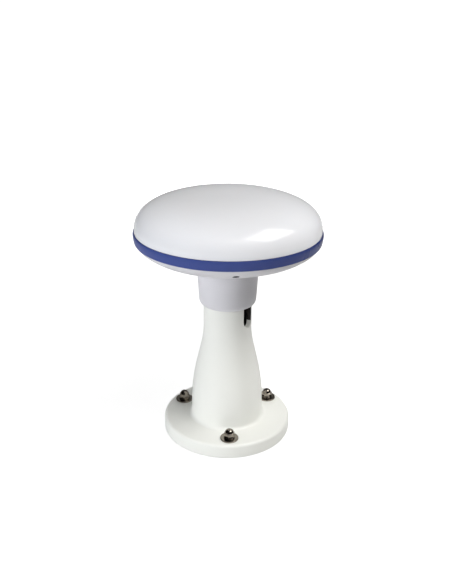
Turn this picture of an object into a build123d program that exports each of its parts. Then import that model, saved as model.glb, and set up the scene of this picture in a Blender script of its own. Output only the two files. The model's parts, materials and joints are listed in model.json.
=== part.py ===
# GNSS receiver on a deck pedestal: a mushroom-shaped receiver head that screws
# onto the threaded stub of a hollow flared pedestal with a three-bolt flange.
# Millimetres, +Z up, origin at the centre of the pedestal's underside, -Y is the
# front, where the first flange bolt sits.
# Names: _R radius, _T thickness, _H height, _Z level, _W width, _L length,
# _AZ degrees round from the front.

from build123d import *
import os
from math import cos, sin, pi, radians

os.makedirs("parts", exist_ok=True)

# ---------------------------------------------------------------- dimensions
# pedestal
FLANGE_R = 54.2
FLANGE_T = 12.0
RIM_IN_R = 49.6          # inside of the flange rim, underneath
POCKET_H = 7.0           # depth of the lightening pockets underneath
HUB_R = 30.45            # outside of the pedestal just above the flange
HUB_IN_R = 26.5          # cable entry underneath
HUB_TOP_Z = 20.0         # the flare runs from here up to the neck
NECK_R = 20.0
NECK_IN_R = 16.0
NECK_Z = 97.0
SHOULDER_Z = 118.0       # top face the seal rests on
STUB_R = 12.25           # core of the 1 in - 14 thread on the stub
STUB_BORE_R = 9.0
STUB_TOP_Z = 137.0
NOTCH_AZ = 60.0          # cable notch
NOTCH_W = 14.0
NOTCH_Z = 97.5           # lowest point of the notch
STUB_SLOT_W = 8.0

# (radius, z) up the outside of the flare
FLARE_OUTSIDE = (
    (HUB_R, HUB_TOP_Z), (30.27, 28.8), (29.83, 37.3), (28.99, 45.8), (27.68, 54.3),
    (25.95, 62.7), (23.97, 71.2), (22.04, 79.7), (20.58, 88.1), (NECK_R, NECK_Z),
)
# (radius, z) down the inside of the flare
FLARE_INSIDE = (
    (NECK_IN_R, NECK_Z), (16.55, 87.5), (17.95, 78.5), (19.9, 70), (21.8, 61.6),
    (23.55, 53.3), (24.9, 45), (25.8, 36.5), (26.3, 28), (HUB_IN_R, HUB_TOP_Z),
)

# flange hardware, M5
BOLT_PCD = 86.0
BOLT_HOLE_R = 2.75
WASHER_R = 7.5
WASHER_T = 1.2
SPRING_R = 4.6
SPRING_T = 1.2
NUT_Z = FLANGE_T + WASHER_T + SPRING_T
NUT_AF = 8.0             # across flats
NUT_HEX_H = 3.4
NUT_H = 6.6
NUT_DOME_R = 3.95
NUT_CONE_R = NUT_AF / 2 + 1.1
NUT_CONE_TAPER = 14
NUT_BORE_R = 2.1
NUT_BORE_DEPTH = 5.2

# lower housing
SKIRT_Z = 116.5          # lowest edge of the collar skirt
SKIRT_IN_R = 20.35
COLLAR_IN_R = 21.0
COLLAR_TOP_Z = 149.9
THREAD_BORE_R = 12.75
BOSS_R = 17.0            # outside of the threaded boss
BOSS_Z = 119.5           # lowest face of the threaded boss
WEB_Z = 141.0            # underside of the web that carries the connector
WEB_TOP_Z = 144.0
CAVITY_R = 22.4          # hollow just above the web
HEAD_AZ = 2.0            # where the head stops on its thread

# (radius, z) outwards along the shell's underside, from the collar to the band
SHELL_OUTSIDE = (
    (25.4, COLLAR_TOP_Z), (32.7, 151.2), (40.7, 153.4), (50.3, 156.8), (58.1, 159.9),
    (64.5, 162.7), (69.7, 166.1), (72.5, 168.8), (74.0, 171.1),
)
RIM_INNER_R = 66.5
# (radius, z) outwards along the floor of the hollow
SHELL_INSIDE = (
    (CAVITY_R, 152.2), (34.0, 154.4), (44.0, 157.5), (52.0, 160.6), (60.0, 164.8),
    (RIM_INNER_R, 170.4),
)

# joint, trim band and radome
HEAD_R = 75.5            # outside of the trim band
BAND_Z0 = 171.1
BAND_Z1 = 179.1
JOINT_Z = 175.5          # where radome and lower housing meet
LIP_R = 72.6             # both shells, behind the band
DOME_R = 74.4
DOME_H = 28.4            # band top to crown
DOME_PR = 2.74           # superellipse exponents of the crown's section
DOME_PZ = 2.58
WALL = 2.8
SEAL_R0, SEAL_R1 = 69.3, 71.3
SEAL_DEPTH = 1.6

# screws that join the two shells, M2.5 socket-head
SCREW_CIRCLE_R = 67.2
SCREW_COUNT = 4
POST_R = 4.6
WELL_R = 2.6             # screw wells in the underside
WELL_START_Z = 150.0     # clear below the shell
WELL_TOP_Z = 168.5
SCREW_HEAD_R = 2.25
SCREW_HEAD_H = 2.5
SCREW_R = 1.25
SCREW_L = 18.0

# board posts and the 3 mm fasteners inside the head
POST_TOP_Z = 164.0
STACK_R = 44.0           # circle of the four board posts
BOARD_POST_R = 4.0
SHANK_R = 1.5
TAPPED_R = 1.55
CLEAR_R = 1.6
STANDOFF_AF = 5.5
STANDOFF_H = 10.0
STUD_L = 7.0

# boards
BOARD_T = 1.6
BOARD_R = 52.0
TOPSIDE = POST_TOP_Z + BOARD_T
LNA_R = 35.0

# antenna stack, from the ground plane up; 1 is the lower patch, 2 the upper
PLATE_Z = TOPSIDE + STANDOFF_H
PLATE_R = 54.0
PLATE_T = 1.5
SUB1_Z = PLATE_Z + PLATE_T
SUB1_T, SUB1_R = 6.4, 38.0
EL_T = 0.3
EL1_Z = SUB1_Z + SUB1_T
EL1_R = 32.0
SUB2_Z = EL1_Z + EL_T
SUB2_T, SUB2_R = 5.0, 27.0
EL2_Z = SUB2_Z + SUB2_T
EL2_R = 22.0
TOP_Z = EL2_Z + EL_T
LNA_Z = PLATE_Z - BOARD_T      # board hangs on the plate's underside
FEED_R = 11.0                  # circle of the four feed pins
FEED_HOLE_R = 0.75

# wiring
HEADER_X = 22.0
HEADER_H = 5.5
PLUG_TOP_Z = POST_TOP_Z - 2.2
PLUG_H = 5.0
LNA_COAX = (-26, 0)            # snap connector under the amplifier board
BOARD_COAX = (-31, -20)        # snap connector on the receiver board
COAX_SNAP_R = 1.7
COAX_SNAP_H = 1.6

# cable connector
CONNECTOR_FLOOR_Z = 135.6
CONNECTOR_FLANGE_Z = 140.0     # top of the shell's flange, under the seal
CONNECTOR_THREAD_R = 8.0
CONNECTOR_TOP_Z = 151.0
PIN_CIRCLE_R = 2.75
PIN_COUNT = 7                  # around one in the middle
PIN_R = 0.5
PIN_HOLE_R = 0.55
PIN_Z = 130.4
PIN_L = 19.2


# ------------------------------------------------------------------- helpers
def az(deg):
    """Start angle for PolarLocations of a feature deg round from the front."""
    return -90.0 + deg


def level(z):
    """Horizontal sketch plane at height z."""
    return Plane.XY.offset(z)


def flange_bolts():
    return PolarLocations(BOLT_PCD / 2, 3, start_angle=az(0))


def shell_screws():
    return PolarLocations(SCREW_CIRCLE_R, SCREW_COUNT, start_angle=az(HEAD_AZ))


def board_posts():
    return PolarLocations(STACK_R, 4, start_angle=45)


def feeds():
    return PolarLocations(FEED_R, 4, start_angle=45)


def feed_and_centre_holes(feed_radius, mode=Mode.SUBTRACT):
    """Circles for the four feed pins and the central patch screw."""
    with feeds():
        Circle(feed_radius, mode=mode)
    Circle(CLEAR_R, mode=mode)


def contact_circles(radius, mode=Mode.ADD):
    """One circle for each contact of the cable connector."""
    with PolarLocations(PIN_CIRCLE_R, PIN_COUNT, start_angle=90):
        Circle(radius, mode=mode)
    Circle(radius, mode=mode)


def cross(length):
    """Cross-shaped driver recess."""
    slot_width = 0.7
    Rectangle(length, slot_width)
    Rectangle(slot_width, length)


def circles(body):
    return body.edges().filter_by(GeomType.CIRCLE)


def circles_at(body, z):
    """Circular edges at height z, smallest radius first."""
    return circles(body).filter_by_position(Axis.Z, z - 0.01, z + 0.01).sort_by(SortBy.RADIUS)


def crown(r_max, height, count=16):
    """Section points of the crown from its rim to just short of the axis."""
    pts = []
    for i in range(count):
        a = (pi / 2) * i / count
        r = r_max * cos(a) ** (2 / DOME_PR)
        z = height * sin(a) ** (2 / DOME_PZ)
        pts.append((r, BAND_Z1 + z))
    return pts


# ================================================================== pedestal
def pedestal():
    bore_z0, bore_z1 = 108.5, 113.5    # cone from the neck's hollow to the stub's bore
    with BuildPart() as body:
        with BuildSketch(Plane.XZ):
            with BuildLine():
                Polyline(
                    (HUB_IN_R, 0), (FLANGE_R, 0), (FLANGE_R, FLANGE_T), (HUB_R, FLANGE_T),
                    (HUB_R, HUB_TOP_Z),
                )
                Spline(*FLARE_OUTSIDE, tangents=((0, 1), (0, 1)))
                Polyline(
                    (NECK_R, NECK_Z), (NECK_R, SHOULDER_Z), (STUB_R, SHOULDER_Z),
                    (STUB_R, STUB_TOP_Z), (STUB_BORE_R, STUB_TOP_Z), (STUB_BORE_R, bore_z1),
                    (NECK_IN_R, bore_z0), (NECK_IN_R, NECK_Z),
                )
                Spline(*FLARE_INSIDE, tangents=((0, -1), (0, -1)))
                Line((HUB_IN_R, HUB_TOP_Z), (HUB_IN_R, 0))
            make_face()
        revolve(axis=Axis.Z)
        # root of the pedestal on the flange, and the flange's upper rim
        fillet(circles_at(body, FLANGE_T)[0], radius=3.0)
        fillet(circles_at(body, FLANGE_T)[-1], radius=2.6)
        # outer edges of the foot, the stub's tip and the shoulder
        for z, length in ((0, 0.6), (STUB_TOP_Z, 0.8), (SHOULDER_Z, 0.5)):
            chamfer(circles_at(body, z)[-1], length=length)
        # lightening pockets underneath, leaving bolt bosses and six ribs
        with BuildSketch(Plane.XY):
            Circle(RIM_IN_R)
            Circle(HUB_R + 1.0, mode=Mode.SUBTRACT)
            with flange_bolts():
                Circle(7.0, mode=Mode.SUBTRACT)
            with PolarLocations(40.0, 6, start_angle=az(0)):
                Rectangle(24.0, 3.0, mode=Mode.SUBTRACT)
        extrude(amount=POCKET_H, mode=Mode.SUBTRACT)
        # three deck bolt holes
        with BuildSketch(Plane.XY):
            with flange_bolts():
                Circle(BOLT_HOLE_R)
        extrude(amount=FLANGE_T, mode=Mode.SUBTRACT)
        # cable notch in the neck, open at the shoulder, and its slot up the stub
        angle = radians(NOTCH_AZ)
        notch_plane = Plane(
            origin=(0, 0, 0),
            x_dir=(cos(angle), sin(angle), 0),
            z_dir=(sin(angle), -cos(angle), 0),
        )
        from_bottom = (Align.CENTER, Align.MIN)
        with BuildSketch(notch_plane):
            with Locations((0, NOTCH_Z + NOTCH_W / 2)):
                Circle(NOTCH_W / 2)
                Rectangle(
                    NOTCH_W, SHOULDER_Z + 0.5 - NOTCH_Z - NOTCH_W / 2, align=from_bottom
                )
        extrude(amount=NECK_R + 4, mode=Mode.SUBTRACT)
        with BuildSketch(notch_plane):
            with Locations((0, SHOULDER_Z - 1)):
                Rectangle(STUB_SLOT_W, STUB_TOP_Z - SHOULDER_Z + 3, align=from_bottom)
        extrude(amount=NECK_R, mode=Mode.SUBTRACT)
    return body.part


def flat_washers():
    with BuildPart() as body:
        with BuildSketch(level(FLANGE_T)):
            with flange_bolts():
                Circle(WASHER_R)
                Circle(BOLT_HOLE_R, mode=Mode.SUBTRACT)
        extrude(amount=WASHER_T)
        top = circles(body).group_by(Axis.Z)[-1]
        chamfer(top.group_by(SortBy.RADIUS)[-1], length=0.3)
    return body.part


def spring_washers():
    """Spring rings, each with a slanting slot cut in its side."""
    with BuildPart() as body:
        with BuildSketch(level(FLANGE_T + WASHER_T)):
            with flange_bolts():
                Circle(SPRING_R)
                Circle(BOLT_HOLE_R, mode=Mode.SUBTRACT)
            with flange_bolts():
                with Locations(Location((-3.4, 1.6, 0), 28)):
                    Rectangle(3.4, 0.7, mode=Mode.SUBTRACT)
        extrude(amount=SPRING_T)
        # outer edges only
        chamfer(circles(body).filter_by(lambda edge: edge.radius > 4), length=0.15)
    return body.part


def cap_nuts():
    """Domed nuts, open at the bottom for bolts that come up through the deck."""
    with BuildPart() as body:
        with BuildSketch(level(NUT_Z)):
            with flange_bolts():
                RegularPolygon(NUT_AF / 2, 6, major_radius=False)
        extrude(amount=NUT_HEX_H)
        # cones that turn the hexagon's corners off, top then bottom
        for z, height in ((NUT_Z, NUT_HEX_H), (NUT_Z + NUT_HEX_H, -NUT_HEX_H)):
            with BuildSketch(level(z)):
                with flange_bolts():
                    Circle(NUT_CONE_R)
            extrude(amount=height, taper=NUT_CONE_TAPER, mode=Mode.INTERSECT)
        # dome: a short cylinder and a ball end
        with BuildSketch(level(NUT_Z + 0.4)):
            with flange_bolts():
                Circle(NUT_DOME_R)
        extrude(amount=NUT_H - NUT_DOME_R - 0.4)
        with flange_bolts():
            with Locations((0, 0, NUT_Z + NUT_H - NUT_DOME_R)):
                Sphere(NUT_DOME_R)
        # blind threaded bore from below, kept at its core size
        with BuildSketch(level(NUT_Z - 2)):
            with flange_bolts():
                Circle(NUT_BORE_R)
        extrude(amount=NUT_BORE_DEPTH + 2, mode=Mode.SUBTRACT)
        # trim the part of the ball that hangs below the nut
        with BuildSketch(level(NUT_Z - 1)):
            with flange_bolts():
                Circle(NUT_AF)
        extrude(amount=1, mode=Mode.SUBTRACT)
    return body.part


def collar_seal():
    """Flat rubber ring between the shoulder and the threaded boss."""
    with BuildPart() as body:
        with BuildSketch(level(SHOULDER_Z)):
            Circle(19.4)
            Circle(13.2, mode=Mode.SUBTRACT)
        extrude(amount=BOSS_Z - SHOULDER_Z)
        fillet(circles(body), radius=0.3)
    return body.part


# ==================================================================== shells
def lower_cavity():
    """Hollow of the lower housing, less the screw posts and board posts."""
    top_z = JOINT_Z + 1
    post_start_z = 140
    with BuildPart() as body:
        with BuildSketch(Plane.XZ):
            with BuildLine():
                Line((0, WEB_TOP_Z), (CAVITY_R, WEB_TOP_Z))
                Line((CAVITY_R, WEB_TOP_Z), SHELL_INSIDE[0])
                Spline(*SHELL_INSIDE)
                Polyline(SHELL_INSIDE[-1], (RIM_INNER_R, top_z), (0, top_z), (0, WEB_TOP_Z))
            make_face()
        revolve(axis=Axis.Z)
        with BuildSketch(level(WELL_START_Z)):
            with shell_screws():
                Circle(POST_R)
        extrude(amount=40, mode=Mode.SUBTRACT)
        with BuildSketch(level(post_start_z)):
            with board_posts():
                Circle(BOARD_POST_R)
        extrude(amount=POST_TOP_Z - post_start_z, mode=Mode.SUBTRACT)
    return body.part


def lower_housing():
    cavity = lower_cavity()
    collar_edge = (23.5, 119.8)        # outside of the collar, above its rounded lip
    rib_z = BOSS_Z + 1.5
    with BuildPart() as body:
        with BuildSketch(Plane.XZ):
            with BuildLine():
                Polyline(
                    (0, WEB_Z), (THREAD_BORE_R, WEB_Z), (THREAD_BORE_R, BOSS_Z),
                    (BOSS_R, BOSS_Z), (BOSS_R, WEB_Z), (COLLAR_IN_R, WEB_Z),
                    (COLLAR_IN_R, BOSS_Z), (SKIRT_IN_R, BOSS_Z - 0.65),
                    (SKIRT_IN_R, SKIRT_Z), (20.9, SKIRT_Z),
                )
                ThreePointArc((20.9, SKIRT_Z), (22.6, 117.6), collar_edge)
                Line(collar_edge, SHELL_OUTSIDE[0])
                Spline(*SHELL_OUTSIDE)
                Polyline(
                    SHELL_OUTSIDE[-1], (LIP_R, BAND_Z0), (LIP_R, JOINT_Z), (0, JOINT_Z),
                    (0, WEB_Z),
                )
            make_face()
        revolve(axis=Axis.Z)
        add(cavity, mode=Mode.SUBTRACT)
        # root of the collar under the shell
        fillet(circles_at(body, COLLAR_TOP_Z)[-1], radius=1.5)
        # ribs between the skirt and the threaded boss
        with BuildSketch(level(rib_z)):
            with PolarLocations((BOSS_R + COLLAR_IN_R) / 2, 6, start_angle=az(HEAD_AZ + 30)):
                Rectangle(4.6, 2.0)
        extrude(amount=WEB_Z - rib_z)
        # groove for the housing seal
        with BuildSketch(level(JOINT_Z)):
            Circle(SEAL_R1)
            Circle(SEAL_R0, mode=Mode.SUBTRACT)
        extrude(amount=-SEAL_DEPTH, mode=Mode.SUBTRACT)
        # wells and clearance holes for the four housing screws
        with BuildSketch(level(WELL_START_Z)):
            with shell_screws():
                Circle(WELL_R)
        extrude(amount=WELL_TOP_Z - WELL_START_Z, mode=Mode.SUBTRACT)
        with BuildSketch(level(WELL_TOP_Z - 1)):
            with shell_screws():
                Circle(SCREW_R + 0.2)
        extrude(amount=JOINT_Z - WELL_TOP_Z + 2, mode=Mode.SUBTRACT)
        # holes in the board posts
        with BuildSketch(level(POST_TOP_Z)):
            with board_posts():
                Circle(TAPPED_R)
        extrude(amount=-6.5, mode=Mode.SUBTRACT)
        # connector hole in the web
        with BuildSketch(level(WEB_Z - 1)):
            Circle(CONNECTOR_THREAD_R + 0.1)
        extrude(amount=WEB_TOP_Z - WEB_Z + 2, mode=Mode.SUBTRACT)
    return body.part


def radome_cavity():
    """Hollow of the radome, less the screw bosses."""
    # the section leaves the rim wall at the crown's third point
    section = crown(DOME_R - WALL, DOME_H - WALL)[2:]
    bottom_z = JOINT_Z - 1
    apex = (0, BAND_Z1 + DOME_H - WALL)
    with BuildPart() as body:
        with BuildSketch(Plane.XZ):
            with BuildLine():
                Polyline(
                    (0, bottom_z), (RIM_INNER_R, bottom_z), (RIM_INNER_R, JOINT_Z + 3),
                    section[0],
                )
                Spline(*section, apex, tangents=((-0.15, 1), (-1, 0)))
                Line(apex, (0, bottom_z))
            make_face()
        revolve(axis=Axis.Z)
        with BuildSketch(level(JOINT_Z - 2)):
            with shell_screws():
                Circle(POST_R)
        extrude(amount=40, mode=Mode.SUBTRACT)
    return body.part


def radome():
    cavity = radome_cavity()
    apex = (0, BAND_Z1 + DOME_H)
    with BuildPart() as body:
        with BuildSketch(Plane.XZ):
            with BuildLine():
                Polyline((0, JOINT_Z), (LIP_R, JOINT_Z), (LIP_R, BAND_Z1), (DOME_R, BAND_Z1))
                Spline(*crown(DOME_R, DOME_H), apex, tangents=((0, 1), (-1, 0)))
                Line(apex, (0, JOINT_Z))
            make_face()
        revolve(axis=Axis.Z)
        add(cavity, mode=Mode.SUBTRACT)
        with BuildSketch(level(JOINT_Z)):
            with shell_screws():
                Circle(SCREW_R + 0.05)
        extrude(amount=13, mode=Mode.SUBTRACT)
    return body.part


def trim_band():
    """Blue band that wraps the joint, widest near its top edge."""
    inner_r = LIP_R + 0.1
    mid_z = (BAND_Z0 + BAND_Z1) / 2
    bottom = (74.2, BAND_Z0 + 0.05)
    top = (74.5, BAND_Z1 - 0.05)
    widest = (HEAD_R, BAND_Z1 - 1.7)
    waist = (74.85, BAND_Z0 + 1.4)
    with BuildPart() as body:
        with BuildSketch(Plane.XZ):
            with BuildLine():
                Polyline(bottom, (inner_r, bottom[1]), (inner_r, top[1]), top)
                ThreePointArc(top, (75.15, BAND_Z1 - 0.55), widest)
                ThreePointArc(widest, (HEAD_R - 0.2, mid_z - 0.2), waist)
                ThreePointArc(waist, (74.62, BAND_Z0 + 0.6), bottom)
            make_face()
        revolve(axis=Axis.Z)
    return body.part


def housing_seal():
    """Seal cord squeezed between the shells."""
    clearance = 0.1
    with BuildPart() as body:
        with BuildSketch(level(JOINT_Z - SEAL_DEPTH)):
            Circle(SEAL_R1 - clearance)
            Circle(SEAL_R0 + clearance, mode=Mode.SUBTRACT)
        extrude(amount=SEAL_DEPTH)
        fillet(circles(body), radius=0.5)
    return body.part


def housing_screws():
    """Screws driven up from the underside, their heads in the wells."""
    with BuildPart() as body:
        with BuildSketch(level(WELL_TOP_Z)):
            with shell_screws():
                Circle(SCREW_HEAD_R)
        extrude(amount=-SCREW_HEAD_H)
        fillet(circles(body).group_by(Axis.Z)[0], radius=0.3)
        with BuildSketch(level(WELL_TOP_Z)):
            with shell_screws():
                Circle(SCREW_R)
        extrude(amount=SCREW_L)
        # hexagon sockets
        with BuildSketch(level(WELL_TOP_Z - SCREW_HEAD_H)):
            with shell_screws():
                RegularPolygon(1.0, 6, major_radius=False)
        extrude(amount=1.3, mode=Mode.SUBTRACT)
    return body.part


# ============================================================= antenna stack
def ground_plane():
    """Round plate with an upturned rim."""
    with BuildPart() as body:
        with BuildSketch(level(PLATE_Z)):
            Circle(PLATE_R)
        extrude(amount=PLATE_T)
        with BuildSketch(level(PLATE_Z + PLATE_T)):
            Circle(PLATE_R)
            Circle(PLATE_R - 1.5, mode=Mode.SUBTRACT)
        extrude(amount=4.0)
        with BuildSketch(level(PLATE_Z)):
            with board_posts():
                Circle(CLEAR_R)
            feed_and_centre_holes(1.8, mode=Mode.ADD)
        extrude(amount=PLATE_T, mode=Mode.SUBTRACT)
    return body.part


def patch_substrate(z, radius, thickness):
    with BuildPart() as body:
        with BuildSketch(level(z)):
            Circle(radius)
            feed_and_centre_holes(FEED_HOLE_R)
        extrude(amount=thickness)
        top = circles(body).group_by(Axis.Z)[-1]
        chamfer(top.sort_by(SortBy.RADIUS)[-1], length=0.4)
    return body.part


def patch_element(z, radius, notch_depth, notch_width):
    """Thin disc with four notches in its edge."""
    with BuildPart() as body:
        with BuildSketch(level(z)):
            Circle(radius)
            with PolarLocations(radius, 4, start_angle=0):
                Rectangle(notch_depth, notch_width, mode=Mode.SUBTRACT)
            feed_and_centre_holes(FEED_HOLE_R)
        extrude(amount=EL_T)
    return body.part


def lower_patch_substrate():
    return patch_substrate(SUB1_Z, SUB1_R, SUB1_T)


def lower_patch_element():
    return patch_element(EL1_Z, EL1_R, notch_depth=3.0, notch_width=2.4)


def upper_patch_substrate():
    return patch_substrate(SUB2_Z, SUB2_R, SUB2_T)


def upper_patch_element():
    return patch_element(EL2_Z, EL2_R, notch_depth=2.4, notch_width=2.0)


def feed_pins():
    """Pins from the amplifier board up to the top element, with flat heads."""
    tail = 0.6
    with BuildPart() as body:
        with BuildSketch(level(LNA_Z - tail)):
            with feeds():
                Circle(0.6)
        extrude(amount=TOP_Z - LNA_Z + tail)
        with BuildSketch(level(TOP_Z)):
            with feeds():
                Circle(1.3)
        extrude(amount=0.5)
    return body.part


def patch_screw():
    """Screw that clamps the patch stack to the plate."""
    head_h = 2.2
    with BuildPart() as body:
        with BuildSketch(level(TOP_Z)):
            Circle(2.9)
        extrude(amount=head_h)
        fillet(body.edges().group_by(Axis.Z)[-1], radius=0.9)
        with BuildSketch(level(TOP_Z)):
            Circle(SHANK_R)
        extrude(amount=-(TOP_Z - LNA_Z + 3.0))
        with BuildSketch(level(TOP_Z + head_h)):
            cross(3.4)
        extrude(amount=-1.1, mode=Mode.SUBTRACT)
    return body.part


def patch_nut():
    with BuildPart() as body:
        with BuildSketch(level(LNA_Z)):
            RegularPolygon(2.75, 6, major_radius=False)
            Circle(TAPPED_R, mode=Mode.SUBTRACT)
        extrude(amount=-2.4)
    return body.part


def lna_board():
    """Low-noise amplifier board under the plate."""
    with BuildPart() as body:
        with BuildSketch(level(LNA_Z)):
            Circle(LNA_R)
            feed_and_centre_holes(0.7)
        extrude(amount=BOARD_T)
    return body.part


def lna_shield():
    """Screening can under the amplifier board, open at the top."""
    length, width, wall = 32, 16, 0.4
    height = 3.6
    centre = (0, 18.5)
    with BuildPart() as body:
        with BuildSketch(level(LNA_Z)):
            with Locations(centre):
                RectangleRounded(length, width, 1.5)
        extrude(amount=-height)
        with BuildSketch(level(LNA_Z)):
            with Locations(centre):
                Rectangle(length - 2 * wall, width - 2 * wall)
        extrude(amount=-(height - wall), mode=Mode.SUBTRACT)
    return body.part


# ============================================================ receiver board
def receiver_board():
    with BuildPart() as body:
        with BuildSketch(level(POST_TOP_Z)):
            Circle(BOARD_R)
            with board_posts():
                Circle(CLEAR_R, mode=Mode.SUBTRACT)
            # notch in the front edge
            with Locations((0, -BOARD_R)):
                Rectangle(12, 5, mode=Mode.SUBTRACT)
        extrude(amount=BOARD_T)
    return body.part


def receiver_module():
    """Small carrier board and the can on it."""
    centre = (-4, -14)
    carrier_t = 0.8
    with BuildPart() as body:
        with BuildSketch(level(TOPSIDE)):
            with Locations(centre):
                RectangleRounded(46, 31, 1.2)
        extrude(amount=carrier_t)
        with BuildSketch(level(TOPSIDE + carrier_t)):
            with Locations(centre):
                RectangleRounded(43, 28, 1.2)
        extrude(amount=2.6)
        fillet(body.faces().sort_by(Axis.Z)[-1].edges(), radius=0.3)
    return body.part


def board_components():
    with BuildPart() as body:
        # flat packages
        with BuildSketch(level(TOPSIDE)):
            with Locations((-20, 14), (-6, 16)):
                Rectangle(9, 9)
            with Locations((8, 24), (16, 24)):
                Rectangle(5, 4)
            with Locations((-34, 2), (-34, 8), (-34, 14)):
                Rectangle(3.2, 1.8)
        extrude(amount=1.4)
        # square block with rounded corners
        with BuildSketch(level(TOPSIDE)):
            with Locations((32, -8)):
                RectangleRounded(10, 10, 1.5)
        extrude(amount=4.5)
        # round cans
        with BuildSketch(level(TOPSIDE)):
            with Locations((34, 6), (34, 16), (24, -34)):
                Circle(3.1)
        extrude(amount=5.6)
    return body.part


def backup_battery():
    with BuildPart() as body:
        with BuildSketch(level(TOPSIDE)):
            with Locations((10, 12)):
                Circle(6.3)
        extrude(amount=2.5)
        fillet(body.edges().group_by(Axis.Z)[-1], radius=0.5)
    return body.part


# ==================================================================== wiring
def wire_header():
    """Header under the receiver board, its socket open downwards."""
    with BuildPart() as body:
        with BuildSketch(level(POST_TOP_Z)):
            with Locations((HEADER_X, 0)):
                Rectangle(6.0, 20.0)
        extrude(amount=-HEADER_H)
        with BuildSketch(level(POST_TOP_Z - HEADER_H)):
            with Locations((HEADER_X, 0)):
                Rectangle(4.0, 18.0)
        extrude(amount=3.5, mode=Mode.SUBTRACT)
    return body.part


def harness_plug():
    with BuildPart() as body:
        with BuildSketch(level(PLUG_TOP_Z)):
            with Locations((HEADER_X, 0)):
                Rectangle(3.8, 17.8)
        extrude(amount=-PLUG_H)
    return body.part


def wire_harness():
    """Loom from the cable connector to the plug, and the disc over the pins."""
    with BuildPart() as body:
        with BuildLine():
            Spline(
                (0, 0, CONNECTOR_TOP_Z), (4.0, 0, 154.2), (11.0, 0, 153.9), (18.0, 0, 154.8),
                (HEADER_X, 0, PLUG_TOP_Z - PLUG_H),
                tangents=((0, 0, 1), (0, 0, 1)),
            )
        with BuildSketch(Plane(origin=(0, 0, CONNECTOR_TOP_Z), z_dir=(0, 0, 1))):
            Circle(1.7)
        sweep()
        with BuildSketch(level(PIN_Z + PIN_L)):
            Circle(3.6)
        extrude(amount=1.8)
    return body.part


def rf_connectors():
    """Snap connectors at the two ends of the coax jumper."""
    with BuildPart() as body:
        for z, place, height in (
            (LNA_Z, LNA_COAX, -COAX_SNAP_H),
            (TOPSIDE, BOARD_COAX, COAX_SNAP_H),
        ):
            with BuildSketch(level(z)):
                with Locations(place):
                    Circle(COAX_SNAP_R)
            extrude(amount=height)
    return body.part


def coax_jumper():
    start = (*LNA_COAX, LNA_Z - COAX_SNAP_H)
    end = (*BOARD_COAX, TOPSIDE + COAX_SNAP_H)
    with BuildPart() as body:
        with BuildLine():
            Spline(
                start, (-27.5, -1.5, LNA_Z - 3.4), (-30.0, -10, LNA_Z - 4.4),
                (-31.0, -18.5, TOPSIDE + 3.2), end,
                tangents=((0, 0, -1), (0, 0, -1)),
            )
        with BuildSketch(Plane(origin=start, z_dir=(0, 0, -1))):
            Circle(0.7)
        sweep()
    return body.part


# ========================================================== stack fasteners
def standoffs():
    """Brass standoffs, threaded down into the housing's posts."""
    with BuildPart() as body:
        with BuildSketch(level(TOPSIDE)):
            with board_posts():
                RegularPolygon(STANDOFF_AF / 2, 6, major_radius=False)
        extrude(amount=STANDOFF_H)
        with BuildSketch(level(TOPSIDE)):
            with board_posts():
                Circle(SHANK_R)
        extrude(amount=-STUD_L)
        with BuildSketch(level(TOPSIDE + STANDOFF_H)):
            with board_posts():
                Circle(TAPPED_R)
        extrude(amount=-6.0, mode=Mode.SUBTRACT)
    return body.part


def plate_screws():
    """Screws that hold the ground plane on the standoffs."""
    head_h = 2.0
    with BuildPart() as body:
        with BuildSketch(level(SUB1_Z)):
            with board_posts():
                Circle(2.8)
        extrude(amount=head_h)
        fillet(circles(body).group_by(Axis.Z)[-1], radius=0.8)
        with BuildSketch(level(SUB1_Z)):
            with board_posts():
                Circle(SHANK_R)
        extrude(amount=-6.5)
        with BuildSketch(level(SUB1_Z + head_h)):
            with board_posts():
                cross(3.2)
        extrude(amount=-1.0, mode=Mode.SUBTRACT)
    return body.part


# =========================================================== cable connector
def connector_shell():
    # (radius, z) from the floor round the lower socket, the flange and the upper cup
    outline = (
        (0, CONNECTOR_FLOOR_Z), (4.6, CONNECTOR_FLOOR_Z), (4.6, 128.6), (5.5, 128.6),
        (6.0, 129.1), (6.0, 138.6), (9.6, 138.6), (9.9, 138.9), (9.9, CONNECTOR_FLANGE_Z),
        (CONNECTOR_THREAD_R, CONNECTOR_FLANGE_Z), (CONNECTOR_THREAD_R, CONNECTOR_TOP_Z),
        (5.0, CONNECTOR_TOP_Z), (5.0, WEB_Z), (0, WEB_Z), (0, CONNECTOR_FLOOR_Z),
    )
    with BuildPart() as body:
        with BuildSketch(Plane.XZ):
            with BuildLine():
                Polyline(*outline)
            make_face()
        revolve(axis=Axis.Z)
        with BuildSketch(level(CONNECTOR_FLOOR_Z)):
            contact_circles(PIN_HOLE_R)
        extrude(amount=WEB_Z - CONNECTOR_FLOOR_Z, mode=Mode.SUBTRACT)
    return body.part


def connector_insert():
    with BuildPart() as body:
        with BuildSketch(level(WEB_Z)):
            Circle(4.9)
            contact_circles(PIN_HOLE_R, mode=Mode.SUBTRACT)
        extrude(amount=7.0)
    return body.part


def connector_pins():
    with BuildPart() as body:
        with BuildSketch(level(PIN_Z)):
            contact_circles(PIN_R)
        extrude(amount=PIN_L)
    return body.part


def connector_seal():
    with BuildPart() as body:
        with BuildSketch(level(CONNECTOR_FLANGE_Z)):
            Circle(9.7)
            Circle(CONNECTOR_THREAD_R + 0.1, mode=Mode.SUBTRACT)
        extrude(amount=WEB_Z - CONNECTOR_FLANGE_Z)
    return body.part


def connector_lock_nut():
    with BuildPart() as body:
        with BuildSketch(level(WEB_TOP_Z)):
            RegularPolygon(9.5, 6, major_radius=False)
            Circle(CONNECTOR_THREAD_R + 0.05, mode=Mode.SUBTRACT)
        extrude(amount=3.0)
    return body.part


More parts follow.
